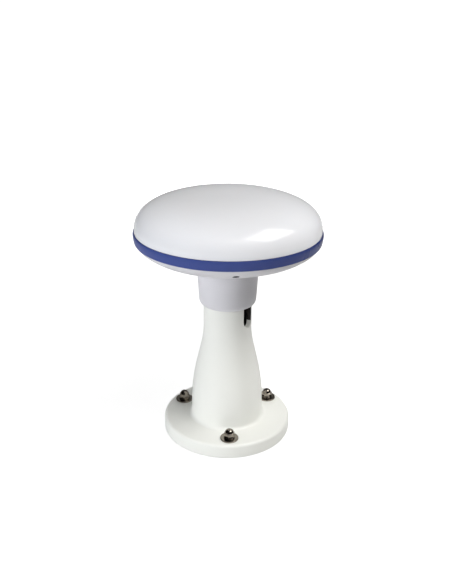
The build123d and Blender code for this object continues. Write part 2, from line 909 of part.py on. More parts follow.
# ==================================================================== export
# each piece's function name is also its label and file name
PIECES = (
    pedestal, flat_washers, spring_washers, cap_nuts, collar_seal,
    lower_housing, radome, trim_band, housing_seal, housing_screws,
    ground_plane, lower_patch_substrate, lower_patch_element,
    upper_patch_substrate, upper_patch_element, feed_pins, patch_screw, patch_nut,
    lna_board, lna_shield, receiver_board, receiver_module, board_components,
    backup_battery, wire_header, harness_plug, wire_harness, rf_connectors,
    coax_jumper, standoffs, plate_screws, connector_shell, connector_insert,
    connector_pins, connector_seal, connector_lock_nut,
)
for piece in PIECES:
    part = piece()
    part.label = piece.__name__
    export_step(part, f"parts/{piece.__name__}.step")
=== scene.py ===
# A receiver head (grey lower housing, blue band, white radome) on a round flanged pedestal.
# The axis is +Z, the flange stands on z = 0 and the camera looks from the front, -Y.
# Lengths are in millimetres up to the stage, which is in metres.
import json
import math
import bmesh
import bpy
from mathutils import Matrix, Vector


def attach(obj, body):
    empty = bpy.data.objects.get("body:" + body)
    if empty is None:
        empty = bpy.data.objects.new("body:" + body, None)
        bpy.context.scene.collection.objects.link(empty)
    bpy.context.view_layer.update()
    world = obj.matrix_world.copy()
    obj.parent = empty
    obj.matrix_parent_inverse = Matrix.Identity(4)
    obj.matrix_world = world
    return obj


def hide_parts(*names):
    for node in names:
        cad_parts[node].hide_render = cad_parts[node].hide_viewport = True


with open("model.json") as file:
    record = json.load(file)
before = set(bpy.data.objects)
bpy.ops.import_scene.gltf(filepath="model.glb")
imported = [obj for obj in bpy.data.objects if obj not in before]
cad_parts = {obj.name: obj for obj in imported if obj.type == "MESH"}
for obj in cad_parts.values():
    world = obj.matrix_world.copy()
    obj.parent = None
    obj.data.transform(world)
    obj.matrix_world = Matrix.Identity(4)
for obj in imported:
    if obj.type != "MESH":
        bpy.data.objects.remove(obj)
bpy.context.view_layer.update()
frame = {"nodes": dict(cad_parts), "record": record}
scene = bpy.context.scene
MM = 0.001


def az(deg):
    """Unit vector at an azimuth, counted from the front (-Y) towards +X."""
    a = math.radians(-90 + deg)
    return math.cos(a), math.sin(a)


def spots(radius, count, start=0.0):
    steps = [az(start + 360 / count * k) for k in range(count)]
    return [(radius * x, radius * y) for x, y in steps]


# ------------------------------------------------------------------ dimensions
# _R is a radius, _Z a height above the floor, _T a thickness
SEGS, HEAD_SEGS = 160, 224          # steps round the pedestal and round the head

# pedestal
FLANGE_R, FLANGE_T = 54.2, 12.0
HUB_R, HUB_IN_R, HUB_Z = 30.45, 26.5, 20
NECK_R, NECK_IN_R, NECK_Z = 20.0, 16.0, 97
SHOULDER_Z = 118.0
STUB_R, STUB_BORE_R, STUB_TOP_Z = 12.25, 9.0, 137.0
HOLE_R = 2.75
BOLT_SPOTS = spots(43.0, 3)
WASHER_T = 1.2                      # flat and spring washers alike
NUT_Z = FLANGE_T + 2 * WASHER_T

# head
SEAL_TOP_Z = SHOULDER_Z + 1.5
COLLAR_TOP_Z = 149.9
BAND_Z0, BAND_Z1, JOINT_Z = 171.1, 179.1, 175.5
HEAD_R, LIP_R, LIP_IN_R = 75.5, 72.6, 66.5
DOME_R, DOME_H, WALL = 74.4, 28.4, 2.8
DOME_POWER_R, DOME_POWER_Z = 2.74, 2.58     # superellipse exponents
HEAD_AZ = 2.0
SCREW_SPOTS = spots(67.2, 4, HEAD_AZ)
POST_R, WELL_R, WELL_TOP = 4.6, 2.6, 168.5
INNER_POSTS = [(44 * math.cos(a), 44 * math.sin(a))
               for a in [math.pi / 4 + math.pi / 2 * k for k in range(4)]]

# outside of the lower housing, from the collar to the band: (r, z)
UNDER = [
    (25.4, COLLAR_TOP_Z), (32.7, 151.2), (40.7, 153.4), (50.3, 156.8), (58.1, 159.9),
    (64.5, 162.7), (69.7, 166.1), (72.5, 168.8), (74.0, BAND_Z0),
]


# -------------------------------------------------------------------- mesh kit
def build(name, verts, faces, sharp=32.0):
    mesh = bpy.data.meshes.new(name)
    mesh.from_pydata([(x * MM, y * MM, z * MM) for x, y, z in verts], [], faces)
    mesh.validate()
    ob = bpy.data.objects.new(name, mesh)
    scene.collection.objects.link(ob)
    tidy(ob, sharp)
    return ob


def tidy(ob, sharp, merge=1e-6):
    """Merge doubles, turn the normals outward and mark edges above the sharp angle."""
    bm = bmesh.new()
    bm.from_mesh(ob.data)
    bmesh.ops.remove_doubles(bm, verts=bm.verts, dist=merge)
    bmesh.ops.dissolve_degenerate(bm, edges=bm.edges, dist=merge)
    bmesh.ops.recalc_face_normals(bm, faces=bm.faces)
    bm.to_mesh(ob.data)
    bm.free()
    ob.data.shade_smooth()
    ob.data.set_sharp_from_angle(angle=math.radians(sharp))


def rounded(points, steps):
    """Closed section with its corners rounded: each point is (r, z) or (r, z, radius)."""
    out = []
    for i, point in enumerate(points):
        radius = point[2] if len(point) > 2 else 0
        corner = Vector(point[:2])
        if radius <= 0:
            out.append((corner.x, corner.y))
            continue
        back = Vector(points[i - 1][:2]) - corner
        ahead = Vector(points[(i + 1) % len(points)][:2]) - corner
        back_len, ahead_len = back.length, ahead.length
        back.normalize()
        ahead.normalize()
        angle = back.angle(ahead)
        if angle > math.pi - 0.02:
            out.append((corner.x, corner.y))
            continue
        # the arc takes at most just under half of either side
        trim = min(radius / math.tan(angle / 2), back_len * 0.49, ahead_len * 0.49)
        fitted = trim * math.tan(angle / 2)
        centre = corner + (back + ahead).normalized() * (fitted / math.sin(angle / 2))
        start = corner + back * trim - centre
        end = corner + ahead * trim - centre
        sweep = math.pi - angle
        sign = 1 if start.x * end.y - start.y * end.x > 0 else -1
        for k in range(steps + 1):
            th = sign * sweep * k / steps
            cos, sin = math.cos(th), math.sin(th)
            q = Vector((start.x * cos - start.y * sin, start.x * sin + start.y * cos)) + centre
            out.append((q.x, q.y))
    return out


def spline(points, per):
    """Catmull-Rom through the points, with so many steps per span."""
    v = [Vector(p) for p in points]
    v = [v[0] * 2 - v[1]] + v + [v[-1] * 2 - v[-2]]
    out = []
    for i in range(1, len(v) - 2):
        p0, p1, p2, p3 = v[i - 1], v[i], v[i + 1], v[i + 2]
        for k in range(per):
            t = k / per
            q = 0.5 * ((2 * p1) + (p2 - p0) * t + (2 * p0 - 5 * p1 + 4 * p2 - p3) * t * t
                       + (3 * p1 - p0 - 3 * p2 + p3) * t ** 3)
            out.append(tuple(q))
    out.append(tuple(v[-2]))
    return out


def lathe(name, profile, segs=SEGS, centre=(0, 0), sharp=32.0):
    """Turn a closed (r, z) profile about a vertical axis."""
    verts, rows = [], []
    for r, z in profile:
        first = len(verts)
        if r < 1e-6:
            verts.append((centre[0], centre[1], z))
        else:
            verts += level(disc(r, segs, centre), z)
        rows.append(range(first, len(verts)))
    faces = []
    for i, a in enumerate(rows):
        b = rows[(i + 1) % len(rows)]
        if len(a) == 1 and len(b) == 1:
            continue
        for k in range(segs):
            j = (k + 1) % segs
            if len(a) == 1:
                faces.append((a[0], b[j], b[k]))
            elif len(b) == 1:
                faces.append((a[k], a[j], b[0]))
            else:
                faces.append((a[k], a[j], b[j], b[k]))
    return build(name, verts, faces, sharp)


def loft(name, loops, sharp=32.0):
    """Closed solid through loops of equally many points, capped at both ends."""
    verts, faces = [], []
    n = len(loops[0])
    for loop in loops:
        verts += loop
    for i in range(len(loops) - 1):
        for k in range(n):
            j = (k + 1) % n
            faces.append((i * n + k, i * n + j, (i + 1) * n + j, (i + 1) * n + k))
    faces.append(tuple(range(n)))
    faces.append(tuple((len(loops) - 1) * n + k for k in range(n)))
    return build(name, verts, faces, sharp)


def disc(r, n, centre=(0, 0), turn=0.0):
    angles = [turn + 2 * math.pi * k / n for k in range(n)]
    return [(centre[0] + r * math.cos(a), centre[1] + r * math.sin(a)) for a in angles]


def level(outline, z):
    return [(x, y, z) for x, y in outline]


def raised(base, profile):
    return [(r, base + z) for r, z in profile]


def prism(name, outline, z0, z1):
    return loft(name, [level(outline, z0), level(outline, z1)])


def rib(azimuth, r0, r1, half, z0, z1):
    """Radial bar between two radii."""
    out = Vector(az(azimuth))
    side = Vector((-out.y, out.x)) * half
    outline = [out * r0 - side, out * r1 - side, out * r1 + side, out * r0 + side]
    return prism("rib", [tuple(p) for p in outline], z0, z1)


def boolean(ob, cutters, op="DIFFERENCE", sharp=32.0):
    """Apply the cutters one after another and delete them."""
    for cutter in cutters:
        mod = ob.modifiers.new("cut", "BOOLEAN")
        mod.operation, mod.object, mod.solver = op, cutter, "EXACT"
        graph = bpy.context.evaluated_depsgraph_get()
        mesh = bpy.data.meshes.new_from_object(ob.evaluated_get(graph))
        ob.modifiers.clear()
        old = ob.data
        ob.data = mesh
        mesh.name = ob.name
        bpy.data.meshes.remove(old)
        bpy.data.objects.remove(cutter)
    tidy(ob, sharp, 2e-7)


def thread(name, root_r, crest_r, pitch, z0, z1, per_turn):
    """Helical ridge with run-out ends, its base sunk a little below the root."""
    turns = (z1 - z0) / pitch
    n = int(turns * per_turn)
    half = pitch * 0.40
    base_r = root_r - 0.15
    verts, faces = [], []
    for i in range(n + 1):
        a = 2 * math.pi * turns * (i / n)
        z = z0 + (z1 - z0) * (i / n)
        fade = min(1.0, min(i, n - i) / (per_turn * 0.4))
        top_r = root_r + (crest_r - root_r) * max(fade, 0.02)
        section = ((base_r, -half), (top_r, -half * 0.22), (top_r, half * 0.22), (base_r, half))
        for r, dz in section:
            verts.append((r * math.cos(a), r * math.sin(a), z + dz))
    for i in range(n):
        for k in range(4):
            j = (k + 1) % 4
            faces.append((i * 4 + k, i * 4 + j, (i + 1) * 4 + j, (i + 1) * 4 + k))
    faces.append((0, 1, 2, 3))
    faces.append(tuple(n * 4 + k for k in range(4)))
    return build(name, verts, faces, 25)


# -------------------------------------------------------------------- pedestal
def column(z):
    """Outer radius at a height: a skewed cosine from the hub to the neck."""
    low, high, skew = 11.9, 96.6, 1.537
    s = min(max((z - low) / (high - low), 0), 1)
    return NECK_R + (HUB_R - NECK_R) * (1 + math.cos(math.pi * s ** skew)) / 2


def pedestal_body():
    heights = [HUB_Z + (NECK_Z - HUB_Z) * k / 44 for k in range(45)]
    outer = [(column(z), z) for z in heights]
    outer[0] = (HUB_R, HUB_Z)
    wall = NECK_R - NECK_IN_R
    inner = [(r - (wall + 0.15 * math.sin(z / 30)), z) for r, z in reversed(outer)]
    inner[0] = (NECK_IN_R, NECK_Z)
    inner[-1] = (HUB_IN_R, HUB_Z)
    neck = [(NECK_R, NECK_Z + (SHOULDER_Z - NECK_Z) * k / 8) for k in range(1, 8)]
    return lathe("pedestal_casting", rounded([
        (HUB_IN_R, 0, 0.6), (FLANGE_R, 0, 0.8), (FLANGE_R, FLANGE_T, 2.6), (HUB_R, FLANGE_T, 3.0),
        *outer, *neck,
        (NECK_R, SHOULDER_Z, 0.5), (STUB_R, SHOULDER_Z, 0.4), (STUB_R, STUB_TOP_Z, 0.8),
        (STUB_BORE_R, STUB_TOP_Z, 0.6), (STUB_BORE_R, 113.5, 0.6), (NECK_IN_R, 108.5, 1.0),
        *inner,
    ], 6))


def flange_pockets():
    """Ring cut from below, less the three bolt bosses and six ribs left standing."""
    r0, r1, top, corner = 31.45, 49.6, 7.0, 0.6
    pocket = lathe("pocket", [
        (r0, -1), (r1, -1), (r1, top - corner), (r1 - corner, top), (r0 + corner, top),
        (r0, top - corner),
    ], 120)
    keep = [prism("boss", disc(7.0, 48, c), -2, 8) for c in BOLT_SPOTS]
    keep += [rib(60 * k, 28, 52, 1.5, -2, 8) for k in range(6)]
    boolean(pocket, keep)
    return pocket


def cable_notch():
    """U-shaped cutter through the neck at azimuth 60, with a rounded lip along its surface,
    and the narrower slot cutter above it."""
    half, top, centre_z, lip = 7.0, 119.4, 104.5, 0.7
    out = Vector(az(60))
    side = Vector((-out.y, out.x))
    # outline down one side, round the bottom and up the other: (x, z, normal x, normal z)
    straight = top - centre_z
    outline = [(half, top - straight * k / 10, 1, 0) for k in range(10)]
    outline += [(half * math.cos(a), centre_z - half * math.sin(a), math.cos(a), -math.sin(a))
                for a in [math.pi * k / 24 for k in range(25)]]
    outline += [(-half, centre_z + straight * k / 10, -1, 0) for k in range(1, 11)]
    # (distance from the neck's surface, widening); None is the flat inner end
    stations = [
        (None, 0), (-lip, 0), (-lip * 0.62, lip * 0.08), (-lip * 0.29, lip * 0.29),
        (-lip * 0.08, lip * 0.62), (0.0, lip), (0.25, lip * 1.25), (3.0, lip * 3),
    ]
    loops = []
    for depth, grow in stations:
        loop = []
        for x, z, nx, nz in outline:
            px, pz = x + nx * grow, z + nz * grow
            surface = math.sqrt(max(column(pz) ** 2 - px ** 2, 1))
            q = out * (4.0 if depth is None else surface + depth) + side * px
            loop.append((q.x, q.y, pz))
        loops.append(loop)
    notch = loft("notch", loops)
    corners = ((4, 4), (30, 4), (30, -4), (4, -4))      # (outward, sideways)
    slot = prism("slot", [tuple(out * r + side * s) for r, s in corners], 117.5, 140)
    return [notch, slot]


def make_pedestal():
    body = pedestal_body()
    pocket = flange_pockets()
    holes = [prism("hole", disc(HOLE_R, 48, c), -3, 14) for c in BOLT_SPOTS]
    boolean(body, [pocket] + holes + cable_notch(), sharp=34)
    return body


# ---------------------------------------------------------------- flange nuts
def cap_nut(name, centre, turn):
    half, height = 4.0, 3.4
    hex_r = half / math.cos(math.pi / 6)
    nut = prism(name, disc(hex_r, 6, centre, turn), NUT_Z, NUT_Z + height)
    # chamfer the corners, top and bottom
    over = hex_r + 0.25
    cone = [(0, -0.001), (4.05, -0.001), (over, 0.42), (over, 2.86), (4.02, 3.401), (0, 3.401)]
    boolean(nut, [lathe("cone", raised(NUT_Z, cone), 96, centre)], "INTERSECT")
    dome_r, dome_z = 3.95, 2.65
    cap = [(0, 2.0), (dome_r, 2.0), (dome_r, dome_z)]
    cap += [(dome_r * math.cos(a), dome_z + dome_r * math.sin(a))
            for a in [math.pi / 2 * k / 24 for k in range(1, 24)]]
    cap += [(0, dome_z + dome_r)]
    boolean(nut, [lathe("dome", raised(NUT_Z, cap), 96, centre)], "UNION")
    bore = [(0, -1), (2.6, -1), (2.6, 0), (2.1, 0.5), (2.1, 4.9), (1.6, 5.2), (0, 5.2)]
    boolean(nut, [lathe("bore", raised(NUT_Z, bore), 48, centre)], sharp=24)
    bevel = nut.modifiers.new("edge", "BEVEL")
    bevel.width, bevel.segments = 0.12 * MM, 2
    bevel.limit_method, bevel.angle_limit = "ANGLE", math.radians(26)
    bevel.harden_normals = False
    return nut


def flat_washer(name, centre):
    r, top = 7.5, FLANGE_T + WASHER_T
    section = [(HOLE_R, FLANGE_T, 0.05), (r, FLANGE_T, 0.12), (r, top, 0.36), (HOLE_R, top, 0.15)]
    return lathe(name, rounded(section, 4), 96, centre, 30)


def spring_washer(name, centre, turn):
    """A split ring of four-sided wire, its ends a little out of line."""
    steps, gap = 110, math.radians(9)
    section = rounded([(2.8, 0.06, 0.12), (4.55, 0.02, 0.14), (4.6, 1.18, 0.14),
                       (2.8, 1.14, 0.12)], 3)
    loops = []
    for i in range(steps + 1):
        f = i / steps
        a = turn + gap / 2 + (2 * math.pi - gap) * f
        rise = 0.05 * (2 * f - 1) * 0.5
        loop = []
        for r, z in section:
            lean = a + (z - WASHER_T / 2) * 0.10
            loop.append((centre[0] + r * math.cos(lean), centre[1] + r * math.sin(lean),
                         FLANGE_T + WASHER_T + min(max(z + rise, 0.0), WASHER_T)))
        loops.append(loop)
    return loft(name, loops, 30)


# --------------------------------------------------------------- receiver head
def seal_ring():
    """Flat ring on the neck's shoulder, with a shallow V in its top."""
    r0, r1, z0, z1, soft = 13.2, 19.4, SHOULDER_Z, SEAL_TOP_Z, 0.35
    section = [(r0, z0, soft), (r1, z0, soft), (r1, z1, soft), (16.6, z1), (16.3, z1 - 0.2),
               (16.0, z1), (r0, z1, soft)]
    return lathe("collar_seal_ring", rounded(section, 5), 128)


def crown(r_max, height):
    """Superellipse from the rim to the top: even in angle first, then even in radius."""
    def rise(a):
        return BAND_Z1 + height * math.sin(a) ** (2 / DOME_POWER_Z)

    points = []
    for k in range(40):
        a = math.pi / 4 * k / 40
        points.append((r_max * math.cos(a) ** (2 / DOME_POWER_R), rise(a)))
    r_mid = r_max * math.cos(math.pi / 4) ** (2 / DOME_POWER_R)
    for k in range(61):
        r = r_mid * (1 - k / 60)
        points.append((r, rise(math.acos((r / r_max) ** (DOME_POWER_R / 2)))))
    return points


def make_radome():
    outside = crown(DOME_R, DOME_H)
    inside = [p for p in crown(DOME_R - WALL, DOME_H - WALL) if p[1] > JOINT_Z + 6.5]
    rim_z = BAND_Z1 - 0.02
    profile = [(LIP_R, JOINT_Z), (LIP_R, rim_z), (DOME_R - 0.25, rim_z),
               (DOME_R - 0.05, BAND_Z1 + 0.06)]
    profile += [p for p in outside[1:] if p[1] > BAND_Z1 + 0.25]
    profile += list(reversed(inside))
    profile += [(66.9, JOINT_Z + 3.2), (LIP_IN_R, JOINT_Z + 2.6), (LIP_IN_R, JOINT_Z)]
    dome = lathe("radome_shell", profile, HEAD_SEGS)
    boolean(dome, [prism("boss", disc(POST_R, 40, c), JOINT_Z, 188.0) for c in SCREW_SPOTS],
            "UNION")
    boolean(dome, [prism("hole", disc(1.3, 24, c), JOINT_Z - 1, JOINT_Z + 13)
                   for c in SCREW_SPOTS])
    return dome


def under_z(x, y):
    """Height of the lower housing's outside above a place."""
    r = math.hypot(x, y)
    for (r0, z0), (r1, z1) in zip(UNDER, UNDER[1:]):
        if r <= r1:
            return z0 + (z1 - z0) * (r - r0) / (r1 - r0)
    return UNDER[-1][1]


def wall_post(centre, r, top_z):
    """A post that starts inside the wall of the housing, following its slope."""
    outline = disc(r, 40, centre)
    base = [(x, y, under_z(x, y) + 1.3) for x, y in outline]
    return loft("post", [base, level(outline, top_z)])


def screw_well(centre):
    """Well cutter whose softened mouth follows the slope of the housing."""
    # (widening, height above the outside)
    mouth = ((0.22, -3.0), (0.22, -0.1), (0.1, 0.06), (0.03, 0.2), (0.0, 0.36))
    loops = []
    for grow, dz in mouth:
        loops.append([(x, y, min(under_z(x, y) + dz, WELL_TOP - 0.1))
                      for x, y in disc(WELL_R + grow, 48, centre)])
    loops.append(level(disc(WELL_R, 48, centre), WELL_TOP))
    return loft("well", loops)


def housing_body():
    skirt = [(20.9, 116.5), (21.6, 116.72), (22.3, 117.25), (22.85, 117.95), (23.25, 118.75),
             (23.5, 119.8)]
    # root of the collar, rounded into the shell
    z = COLLAR_TOP_Z
    root = [(25.3, z - 1.6), (25.36, z - 0.9), (25.6, z - 0.35), (26.1, z - 0.02), (26.9, z + 0.2)]
    (foot_r, foot_z), (root_r, root_z) = skirt[-1], root[0]
    flare = [(foot_r + (root_r - foot_r) * k / 10, foot_z + (root_z - foot_z) * k / 10)
             for k in range(1, 10)]
    inside = spline([(LIP_IN_R, 170.4), (60.0, 164.8), (52.0, 160.6), (44.0, 157.5),
                     (34.0, 154.4), (22.4, 152.2)], 6)
    roof_z = 141.0                  # underside of the collar's web
    return lathe("housing_shell", [
        # inner sleeve round the stub
        (12.75, roof_z), (12.75, 120.3), (13.3, SEAL_TOP_Z), (16.6, SEAL_TOP_Z), (17.0, 119.9),
        (17.0, roof_z),
        # inside and foot of the collar
        (21.0, roof_z), (21.0, SEAL_TOP_Z), (20.35, 118.85), (20.35, 116.7), (20.5, 116.5),
        *skirt, *flare, *root,
        *[p for p in spline(UNDER, 8) if p[0] > 27.6],
        (LIP_R, BAND_Z0), (LIP_R, JOINT_Z), (LIP_IN_R, JOINT_Z),
        *inside,
        # web across the collar, with its central hole
        (22.4, 144.6), (21.8, 144.0), (8.1, 144.0), (8.1, roof_z),
    ], HEAD_SEGS)


def make_housing():
    shell = housing_body()
    add = [wall_post(c, POST_R, JOINT_Z) for c in SCREW_SPOTS]
    add += [wall_post(c, 4.0, 164.0) for c in INNER_POSTS]
    add += [rib(HEAD_AZ + 30 + 60 * k, 16.8, 21.2, 1.0, 121.0, 141.5) for k in range(6)]
    boolean(shell, add, "UNION")
    groove = [(69.3, 173.9), (71.3, 173.9), (71.3, 176.5), (69.3, 176.5)]
    cut = [lathe("groove", groove, HEAD_SEGS)]
    cut += [screw_well(c) for c in SCREW_SPOTS]
    cut += [prism("clear", disc(1.45, 24, c), WELL_TOP - 1, 178) for c in SCREW_SPOTS]
    cut += [prism("pilot", disc(1.55, 24, c), 157.5, 165) for c in INNER_POSTS]
    boolean(shell, cut, sharp=30)
    return shell


def make_band():
    """Ring with an elliptical round at its top and bottom and a face that draws in downwards."""
    inner_r, z0, z1 = 72.7, BAND_Z0 + 0.05, BAND_Z1 - 0.05
    top_w, top_h = 1.0, 1.65
    low_w, low_h, draw = 0.65, 1.35, 0.65
    upper_r, upper_z = HEAD_R - top_w, z1 - top_h
    lower_r, lower_z = HEAD_R - draw - low_w, z0 + low_h
    profile = [(inner_r, z1), (upper_r, z1)]
    profile += [(upper_r + top_w * math.sin(a), upper_z + top_h * math.cos(a))
                for a in [math.pi / 2 * k / 12 for k in range(1, 12)]]
    profile += [(HEAD_R - draw * f ** 1.7, upper_z + (lower_z - upper_z) * f)
                for f in [k / 8 for k in range(9)]]
    profile += [(lower_r + low_w * math.cos(a), lower_z - low_h * math.sin(a))
                for a in [math.pi / 2 * k / 10 for k in range(1, 11)]]
    profile += [(inner_r, z0)]
    return lathe("band_ring", profile, HEAD_SEGS)


def make_screw(k, centre):
    """Socket-head screw, head down: knurled head, hexagon socket, chamfered tip."""
    bottom, top = WELL_TOP - 2.5, WELL_TOP
    n, knurl = 144, 0.05
    # (r, z, 1 where knurled)
    stations = [
        (1.85, bottom, 0), (2.05, bottom + 0.06, 0), (2.2, bottom + 0.2, 0),
        (2.25, bottom + 0.38, 1), (2.25, top - 0.4, 1), (2.19, top - 0.25, 0), (2.1, top, 0),
    ]
    loops = []
    for r, z, knurled in stations:
        loop = []
        for i in range(n):
            a = 2 * math.pi * i / n
            ri = r + (knurl * math.cos(i * math.pi / 2) - knurl) * knurled
            loop.append((ri * math.cos(a) + centre[0], ri * math.sin(a) + centre[1], z))
        loops.append(loop)
    screw = loft("housing_screw_%d" % (k + 1), loops, 40)
    shank = [(0, -0.3), (1.25, -0.3), (1.25, 17.6), (0.9, 18.0), (0, 18.0)]
    boolean(screw, [lathe("shank", raised(top, shank), 48, centre)], "UNION")
    # (half the width across flats, height above the head's face)
    socket = ((1.28, -0.5), (1.08, 0.08), (1.0, 0.16), (1.0, 1.3))
    turn = 0.3 + 0.4 * k
    cutter = loft("socket", [level(disc(half / math.cos(math.pi / 6), 6, centre, turn), bottom + z)
                             for half, z in socket])
    boolean(screw, [cutter], sharp=40)
    return screw


# ------------------------------------------------------------------- materials
MATS = {}


def srgb(r, g, b):
    def linear(c):
        c /= 255.0
        return c / 12.92 if c <= 0.04045 else ((c + 0.055) / 1.055) ** 2.4
    return (linear(r), linear(g), linear(b), 1.0)


def shade(c, k):
    return (c[0] * k, c[1] * k, c[2] * k, 1.0)


class Nodes:
    """A node tree; every value given to it may be a number, a colour or a socket."""

    def __init__(self, tree):
        self.tree = tree

    def plug(self, socket, value):
        if isinstance(value, bpy.types.NodeSocket):
            self.tree.links.new(value, socket)
        else:
            socket.default_value = value

    def add(self, kind, inputs=None, **props):
        node = self.tree.nodes.new(kind)
        for key, value in props.items():
            setattr(node, key, value)
        for key, value in (inputs or {}).items():
            self.plug(node.inputs[key], value)
        return node

    def ramp(self, src, over=(0.0, 1.0), to=(0.0, 1.0)):
        return self.add("ShaderNodeMapRange", {
            "Value": src, "From Min": over[0], "From Max": over[1],
            "To Min": to[0], "To Max": to[1]}).outputs["Result"]

    def math(self, op, a, b):
        return self.add("ShaderNodeMath", {0: a, 1: b}, operation=op).outputs[0]

    def mix(self, fac, a, b):
        return self.add("ShaderNodeMix", {"Factor": fac, 6: a, 7: b}, data_type="RGBA").outputs[2]


class Finish(Nodes):
    """A material kept in MATS, built on the Principled shader in object coordinates."""

    def __init__(self, name):
        mat = MATS[name] = bpy.data.materials.new(name)
        mat.use_nodes = True
        super().__init__(mat.node_tree)
        self.shader = self.tree.nodes["Principled BSDF"]
        self.coords = self.add("ShaderNodeTexCoord").outputs["Object"]

    def noise(self, scale, detail, rough, stretch=None, warp=0.0):
        noise = self.add("ShaderNodeTexNoise", {
            "Scale": scale, "Detail": detail, "Roughness": rough, "Distortion": warp})
        src = self.coords
        if stretch:
            src = self.add("ShaderNodeMapping", {"Scale": stretch, "Vector": src}).outputs[0]
        self.plug(noise.inputs["Vector"], src)
        return noise.outputs["Fac"]

    def occlusion(self, reach, samples):
        """Openness of a place; reach in mm."""
        return self.add("ShaderNodeAmbientOcclusion", {"Distance": reach * MM},
                        samples=samples).outputs["AO"]

    def edges(self):
        return self.add("ShaderNodeNewGeometry").outputs["Pointiness"]

    def bump(self, *layers):
        """layers of (height socket, distance in mm)"""
        last = None
        for height, distance in layers:
            inputs = {"Strength": 1.0, "Distance": distance * MM, "Height": height}
            if last is not None:
                inputs["Normal"] = last
            last = self.add("ShaderNodeBump", inputs).outputs["Normal"]
        self.set(Normal=last)

    def set(self, **values):
        for key, value in values.items():
            self.plug(self.shader.inputs[key.replace("_", " ")], value)


def moulded(name, base, rough, peel, peel_scale=900, coat=0.0, dark=0.97, sss=0.0, dust=0.05,
            worn=0.0, rub=0.25, hollow_shade=0.0, spec=0.5):
    """Moulded or sprayed surface: cloudy tone, orange peel, dust, rubbed edges, painted shade in
    corners.

    peel: depth of the orange peel in mm; dark: tone of the darker clouds; worn: lighter edges;
    rub: variation of the roughness; hollow_shade: painted shade that darkens wide hollows.
    """
    base = srgb(*base)
    m = Finish(name)
    cloud = m.noise(scale=18, detail=4, rough=0.55)
    fine = m.noise(scale=420, detail=3, rough=0.6)
    speck = m.noise(scale=2600, detail=1, rough=0.5)
    col = m.mix(m.ramp(cloud, over=(0.3, 0.7)), base, shade(base, dark))
    col = m.mix(m.ramp(fine, over=(0.60, 0.80), to=(0.0, 0.05)), col, shade(base, 0.9))
    col = m.mix(m.ramp(speck, over=(0.76, 0.82), to=(0.0, dust)), col, (0.35, 0.33, 0.30, 1.0))
    # painted shade: tight corners and creases darkened by their ambient occlusion
    corners = m.occlusion(reach=1.6, samples=4)
    col = m.mix(m.ramp(corners, over=(0.30, 0.85), to=(0.16, 0.0)), col, shade(base, 0.5))
    # painted shade: wide hollows darkened, such as the collar under the head's overhang
    if hollow_shade:
        hollows = m.occlusion(reach=11, samples=6)
        col = m.mix(m.ramp(hollows, over=(0.45, 0.92), to=(hollow_shade, 0.0)), col, shade(base, 0.42))
    if worn:
        edge = m.ramp(m.edges(), over=(0.58, 0.68))
        patches = m.ramp(m.noise(scale=160, detail=4, rough=0.6), over=(0.45, 0.65))
        rubbed = m.math("MULTIPLY", edge, patches)
        col = m.mix(m.math("MULTIPLY", rubbed, worn), col, shade(base, 1.08))
    wipe = m.noise(scale=60, detail=5, rough=0.65, stretch=(1, 1, 0.35), warp=0.6)
    scratch = m.noise(scale=900, detail=2, rough=0.5, stretch=(1, 0.08, 1), warp=0.2)
    wiped = m.ramp(wipe, over=(0.35, 0.75), to=(rough * (1 - rub * 0.5), rough * (1 + rub)))
    scratched = m.ramp(scratch, over=(0.66, 0.74), to=(0.0, 0.05))
    m.set(Base_Color=col, Roughness=m.math("ADD", wiped, scratched), IOR=1.5, Coat_Weight=coat,
          Coat_Roughness=rough * 0.5, Specular_IOR_Level=spec)
    if sss:
        m.set(Subsurface_Weight=sss, Subsurface_Scale=1.2 * MM, Subsurface_Radius=(1.0, 0.8, 0.7))
    m.bump((m.noise(scale=peel_scale, detail=2, rough=0.5), peel),
           (m.noise(scale=55, detail=2, rough=0.5), peel * 2.0))


def metal(name, base, rough, brush=(1, 1, 8), scale=300, wear=0.3, bump=0.01):
    """Turned or drawn metal: brushed streaks, small stains, fine scratches."""
    base = srgb(*base)
    m = Finish(name)
    streak = m.noise(scale=scale, detail=6, rough=0.7, stretch=brush)
    stain = m.noise(scale=70, detail=4, rough=0.6, warp=0.5)
    scratch = m.noise(scale=1500, detail=2, rough=0.5, stretch=(1, 6, 1))
    col = m.mix(m.ramp(streak, over=(0.3, 0.7)), base, shade(base, 0.88))
    col = m.mix(m.ramp(stain, over=(0.55, 0.8), to=(0.0, wear)), col, shade(base, 0.7))
    streaked = m.ramp(streak, over=(0.3, 0.7), to=(rough * 0.8, rough * 1.3))
    scratched = m.ramp(scratch, over=(0.55, 0.75), to=(0.0, rough * 0.6))
    m.set(Base_Color=col, Metallic=1.0, Roughness=m.math("ADD", streaked, scratched))
    m.bump((streak, bump), (scratch, bump * 0.5))


def black_oxide(name):
    """Blackened steel: near-black, oily sheen, bright on rubbed edges."""
    m = Finish(name)
    grain = m.noise(scale=1800, detail=4, rough=0.6)
    rubbed = m.noise(scale=700, detail=3, rough=0.6, warp=0.4)
    worn = m.math("MULTIPLY", m.ramp(m.edges(), over=(0.52, 0.60)),
                  m.ramp(rubbed, over=(0.40, 0.62)))
    col = m.mix(m.ramp(grain, over=(0.3, 0.7)), srgb(44, 43, 44), srgb(30, 29, 31))
    col = m.mix(worn, col, srgb(120, 112, 104))
    m.set(Base_Color=col, Metallic=0.75,
          Roughness=m.ramp(grain, over=(0.3, 0.7), to=(0.28, 0.42)))
    m.bump((grain, 0.006))


